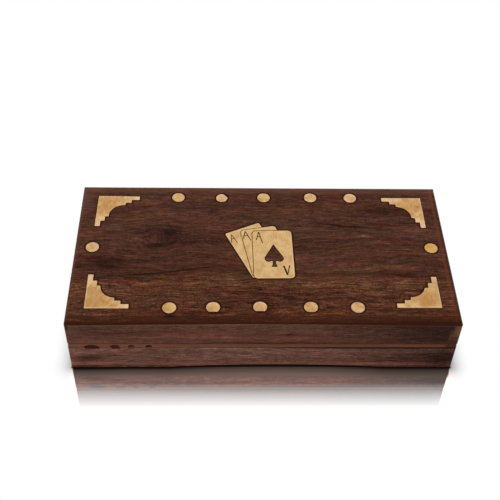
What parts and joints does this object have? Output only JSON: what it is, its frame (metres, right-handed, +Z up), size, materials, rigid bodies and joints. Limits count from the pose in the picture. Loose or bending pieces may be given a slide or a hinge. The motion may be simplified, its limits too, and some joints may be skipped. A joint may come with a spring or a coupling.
{
  "type": "playing card box",
  "caption": "Flat hardwood box with wells for playing cards and dice; its hinged lid is inlaid with brass corners, dots and a fan of cards.",
  "frame": {"origin": "middle of the box's flat underside", "axes": "+X along the box to the right, +Y from the front to the hinged back, +Z up"},
  "size_m": [0.203, 0.1039, 0.0384],
  "materials": {
    "base_wood": "waxed dark streaky hardwood, satin",
    "lid_wood": "waxed dark streaky hardwood, satin",
    "inlay_brass": "sanded flush, softly polished",
    "hinge_brass": "plain pressed brass",
    "lining_cloth": "short-napped cotton velvet"
  },
  "bodies": {
    "base": {"base_floor": "base_wood", "base_front_rail": "base_wood", "base_back_rail": "base_wood", "base_left_rail": "base_wood", "base_right_rail": "base_wood", "divider_left": "base_wood", "divider_right": "base_wood", "lining_left_well": "lining_cloth", "lining_centre": "lining_cloth", "lining_right_well": "lining_cloth", "hinge_left_lower_leaf": "hinge_brass", "hinge_right_lower_leaf": "hinge_brass", "hinge_left_pin": "hinge_brass", "hinge_right_pin": "hinge_brass", "hinge_screws_base": "hinge_brass"},
    "lid": {"lid_top_panel": "lid_wood", "lid_front_rail": "lid_wood", "lid_back_rail": "lid_wood", "lid_left_rail": "lid_wood", "lid_right_rail": "lid_wood", "lid_lining": "lining_cloth", "hinge_left_upper_leaf": "hinge_brass", "hinge_right_upper_leaf": "hinge_brass", "hinge_screws_lid": "hinge_brass", "inlay_corner_front_left": "inlay_brass", "inlay_corner_front_right": "inlay_brass", "inlay_corner_back_left": "inlay_brass", "inlay_corner_back_right": "inlay_brass", "inlay_dot_back_1": "inlay_brass", "inlay_dot_back_2": "inlay_brass", "inlay_dot_back_3": "inlay_brass", "inlay_dot_back_4": "inlay_brass", "inlay_dot_back_5": "inlay_brass", "inlay_dot_front_1": "inlay_brass", "inlay_dot_front_2": "inlay_brass", "inlay_dot_front_3": "inlay_brass", "inlay_dot_front_4": "inlay_brass", "inlay_dot_front_5": "inlay_brass", "inlay_dot_left": "inlay_brass", "inlay_dot_right": "inlay_brass", "inlay_cards": "inlay_brass"}
  },
  "joints": [
    {"name": "lid_hinge", "type": "hinge", "parent": "base", "child": "lid", "pos_m": [0, 0.052, 0.0177], "axis": [-1, 0, 0], "range_deg": [0, 155]}
  ]
}
